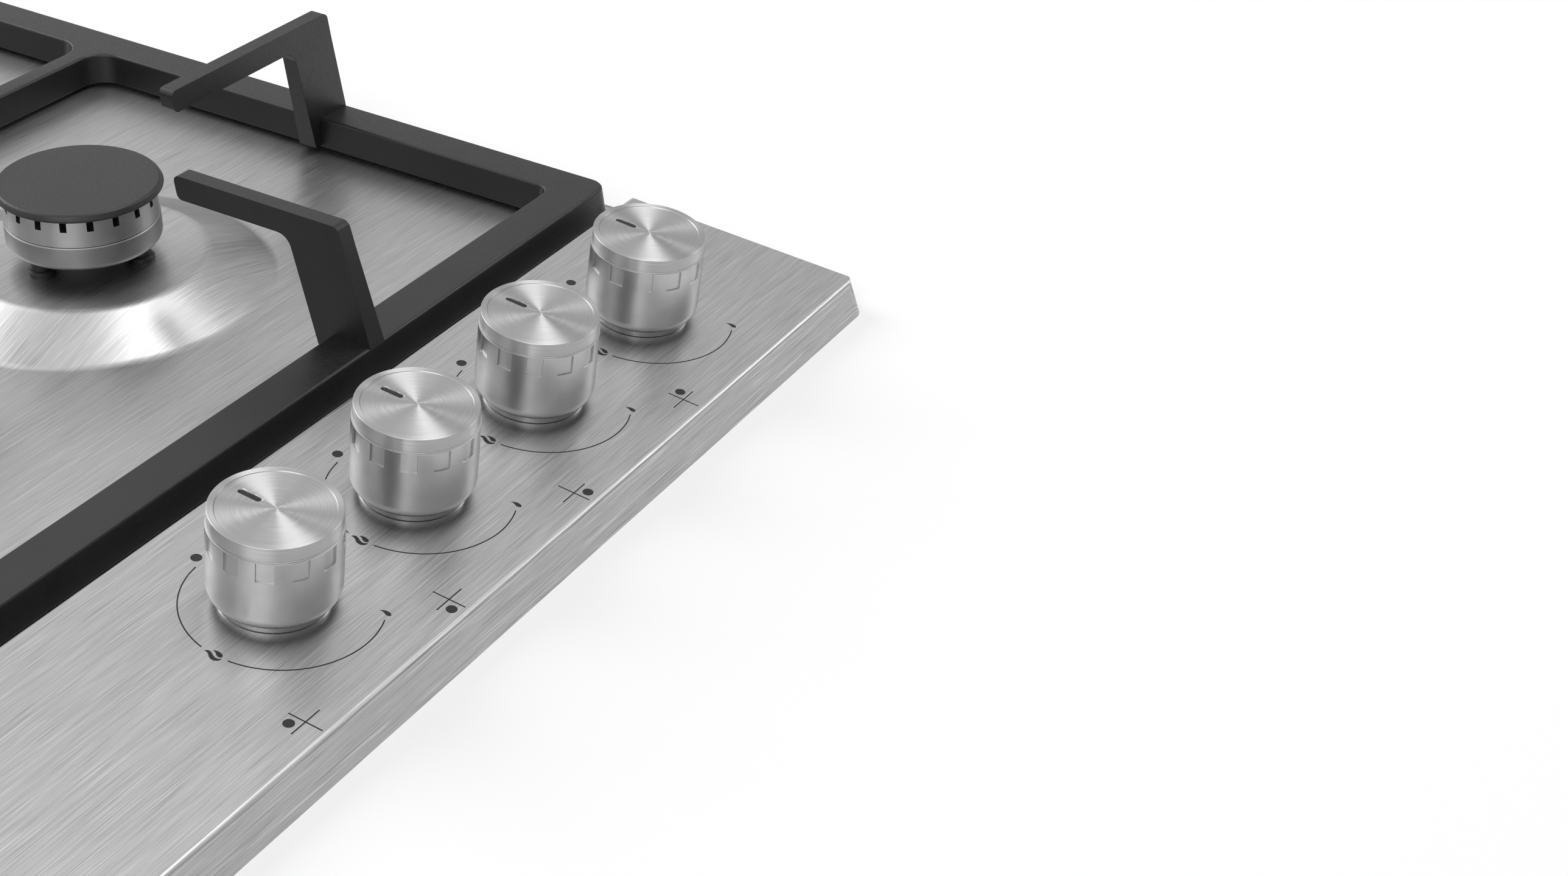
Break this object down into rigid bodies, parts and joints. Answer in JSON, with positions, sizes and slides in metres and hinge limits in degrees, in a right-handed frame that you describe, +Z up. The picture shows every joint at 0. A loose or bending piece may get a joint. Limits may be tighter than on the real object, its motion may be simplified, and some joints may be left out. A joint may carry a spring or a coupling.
{
  "type": "gas cooktop",
  "caption": "Built-in gas hob with a brushed steel top, front control panel with turning knobs, capped burners and cast pan supports that lift off.",
  "frame": {"origin": "centre of the hob on the plane of the worktop, which is the underside of the sealing strip", "axes": "+X to the user's right, +Y to the back of the hob, +Z up"},
  "size_m": [0.59, 0.52, 0.1],
  "materials": {
    "steel_plate": "brushed along its width, satin",
    "zinc_box": "zinc-coated sheet, dull",
    "zinc_screw": "zinc-plated",
    "foam_seal": "matt foam",
    "gas_tube": "drawn, dull",
    "brass": "machined",
    "collar_metal": "polished, grey",
    "black_ring": "matt black",
    "ceramic": "glazed ceramic",
    "probe_metal": "satin",
    "black_plastic": "moulded, matt",
    "lead_rubber": "matt",
    "cast_enamel": "matt black enamel",
    "foot_rubber": "matt",
    "shaft_steel": "turned",
    "knob_metal": "satin, bead-blasted",
    "knob_cap_metal": "spun face, satin",
    "cup_aluminium": "die-cast, dull",
    "head_aluminium": "die-cast, satin",
    "cap_enamel": "matt black enamel"
  },
  "bodies": {
    "hob": {"top_plate": "steel_plate", "burner_box": "zinc_box", "box_screws": "zinc_screw", "worktop_seal": "foam_seal", "worktop_clamps": "zinc_screw", "clamp_screws": "zinc_screw", "gas_manifold": "gas_tube", "inlet_block": "brass", "knob_collars": "collar_metal", "seat_rings": "black_ring", "injector_holders": "gas_tube", "injectors": "brass", "electrodes": "ceramic", "flame_probes": "probe_metal", "gas_pipes": "gas_tube", "ignition_switches": "black_plastic", "spark_generator": "black_plastic", "ignition_leads": "lead_rubber", "terminal_box": "black_plastic", "tap_1": "brass", "tap_2": "brass", "tap_3": "brass", "tap_4": "brass", "return_spring_1": "shaft_steel", "return_spring_2": "shaft_steel", "return_spring_3": "shaft_steel", "return_spring_4": "shaft_steel", "burner_cup_rear_left": "cup_aluminium", "burner_cup_front_left": "cup_aluminium", "burner_cup_front_right": "cup_aluminium", "burner_cup_rear_right": "cup_aluminium"},
    "tap_push_1": {"push_rod_1": "shaft_steel"},
    "knob_turn_1": {"spindle_1": "shaft_steel", "knob_1": "knob_metal", "knob_cap_1": "knob_cap_metal"},
    "tap_push_2": {"push_rod_2": "shaft_steel"},
    "knob_turn_2": {"spindle_2": "shaft_steel", "knob_2": "knob_metal", "knob_cap_2": "knob_cap_metal"},
    "tap_push_3": {"push_rod_3": "shaft_steel"},
    "knob_turn_3": {"spindle_3": "shaft_steel", "knob_3": "knob_metal", "knob_cap_3": "knob_cap_metal"},
    "tap_push_4": {"push_rod_4": "shaft_steel"},
    "knob_turn_4": {"spindle_4": "shaft_steel", "knob_4": "knob_metal", "knob_cap_4": "knob_cap_metal"},
    "head_rear_left": {"burner_head_rear_left": "head_aluminium"},
    "cap_rear_left": {"burner_cap_rear_left": "cap_enamel"},
    "head_front_left": {"burner_head_front_left": "head_aluminium"},
    "cap_front_left": {"burner_cap_front_left": "cap_enamel"},
    "head_front_right": {"burner_head_front_right": "head_aluminium"},
    "cap_front_right": {"burner_cap_front_right": "cap_enamel"},
    "head_rear_right": {"burner_head_rear_right": "head_aluminium"},
    "cap_rear_right": {"burner_cap_rear_right": "cap_enamel"},
    "support_left": {"pan_support_left": "cast_enamel", "support_feet_left": "foot_rubber"},
    "support_right": {"pan_support_right": "cast_enamel", "support_feet_right": "foot_rubber"}
  },
  "joints": [
    {"name": "knob_1_push", "type": "slide", "parent": "hob", "child": "tap_push_1", "axis": [0, 0.0965, -0.9953], "range_m": [0, 0.0025], "stiffness_N_per_m": 600, "springref_m": -0.003, "deforming": ["return_spring_1"]},
    {"name": "knob_1_turn", "type": "hinge", "parent": "tap_push_1", "child": "knob_turn_1", "pos_m": [0.05925, -0.2146, 0.0144], "axis": [0, -0.0965, 0.9953], "range_deg": [0, 211]},
    {"name": "knob_2_push", "type": "slide", "parent": "hob", "child": "tap_push_2", "axis": [0, 0.0965, -0.9953], "range_m": [0, 0.0025], "stiffness_N_per_m": 600, "springref_m": -0.003, "deforming": ["return_spring_2"]},
    {"name": "knob_2_turn", "type": "hinge", "parent": "tap_push_2", "child": "knob_turn_2", "pos_m": [0.11675, -0.2146, 0.0144], "axis": [0, -0.0965, 0.9953], "range_deg": [0, 211]},
    {"name": "knob_3_push", "type": "slide", "parent": "hob", "child": "tap_push_3", "axis": [0, 0.0965, -0.9953], "range_m": [0, 0.0025], "stiffness_N_per_m": 600, "springref_m": -0.003, "deforming": ["return_spring_3"]},
    {"name": "knob_3_turn", "type": "hinge", "parent": "tap_push_3", "child": "knob_turn_3", "pos_m": [0.17425, -0.2146, 0.0144], "axis": [0, -0.0965, 0.9953], "range_deg": [0, 211]},
    {"name": "knob_4_push", "type": "slide", "parent": "hob", "child": "tap_push_4", "axis": [0, 0.0965, -0.9953], "range_m": [0, 0.0025], "stiffness_N_per_m": 600, "springref_m": -0.003, "deforming": ["return_spring_4"]},
    {"name": "knob_4_turn", "type": "hinge", "parent": "tap_push_4", "child": "knob_turn_4", "pos_m": [0.23175, -0.2146, 0.0144], "axis": [0, -0.0965, 0.9953], "range_deg": [0, 211]},
    {"name": "head_rear_left_lift", "type": "slide", "parent": "hob", "child": "head_rear_left", "axis": [0, 0, 1], "range_m": [0, 0.06]},
    {"name": "cap_rear_left_lift", "type": "slide", "parent": "head_rear_left", "child": "cap_rear_left", "axis": [0, 0, 1], "range_m": [0, 0.04]},
    {"name": "head_front_left_lift", "type": "slide", "parent": "hob", "child": "head_front_left", "axis": [0, 0, 1], "range_m": [0, 0.06]},
    {"name": "cap_front_left_lift", "type": "slide", "parent": "head_front_left", "child": "cap_front_left", "axis": [0, 0, 1], "range_m": [0, 0.04]},
    {"name": "head_front_right_lift", "type": "slide", "parent": "hob", "child": "head_front_right", "axis": [0, 0, 1], "range_m": [0, 0.06]},
    {"name": "cap_front_right_lift", "type": "slide", "parent": "head_front_right", "child": "cap_front_right", "axis": [0, 0, 1], "range_m": [0, 0.04]},
    {"name": "head_rear_right_lift", "type": "slide", "parent": "hob", "child": "head_rear_right", "axis": [0, 0, 1], "range_m": [0, 0.06]},
    {"name": "cap_rear_right_lift", "type": "slide", "parent": "head_rear_right", "child": "cap_rear_right", "axis": [0, 0, 1], "range_m": [0, 0.04]},
    {"name": "support_left_lift", "type": "slide", "parent": "hob", "child": "support_left", "axis": [0, 0, 1], "range_m": [0, 0.08]},
    {"name": "support_right_lift", "type": "slide", "parent": "hob", "child": "support_right", "axis": [0, 0, 1], "range_m": [0, 0.08]}
  ]
}
